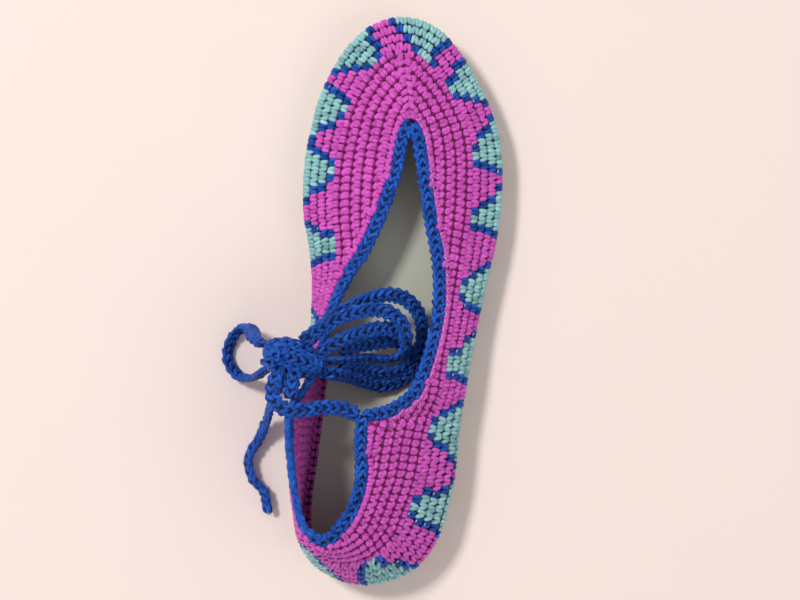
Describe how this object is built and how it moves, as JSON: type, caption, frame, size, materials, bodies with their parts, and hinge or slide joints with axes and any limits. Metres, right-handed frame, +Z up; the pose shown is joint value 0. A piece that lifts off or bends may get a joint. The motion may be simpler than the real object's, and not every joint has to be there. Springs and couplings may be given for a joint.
{
  "type": "crocheted tie sandal",
  "caption": "Flat crocheted shoe with a long open throat, heel collar, contrasting edging, triangle band and tied bow.",
  "frame": {"origin": "centre of the shoe's outline on the floor", "axes": "+Y from heel to toe, +X to the outer side of the right foot, +Z up"},
  "size_m": [0.12, 0.252, 0.061],
  "materials": {
    "sole_rubber": "matt natural crepe rubber, stepped side",
    "insole_satin": "cream satin-faced lining with a soft sheen",
    "upper_yarn": "magenta mercerised yarn in single crochet, with a band of mint and blue triangles",
    "edging_yarn": "royal blue mercerised yarn, crocheted border and flat ties"
  },
  "bodies": {
    "root": {"outsole": "sole_rubber", "insole": "insole_satin", "upper": "upper_yarn", "edging": "edging_yarn", "tie_outer": "edging_yarn", "tie_inner": "edging_yarn", "knot": "edging_yarn", "loop_outer": "edging_yarn", "loop_inner": "edging_yarn", "loop_middle": "edging_yarn", "loop_medial": "edging_yarn", "end_long": "edging_yarn", "end_short": "edging_yarn"}
  },
  "joints": []
}
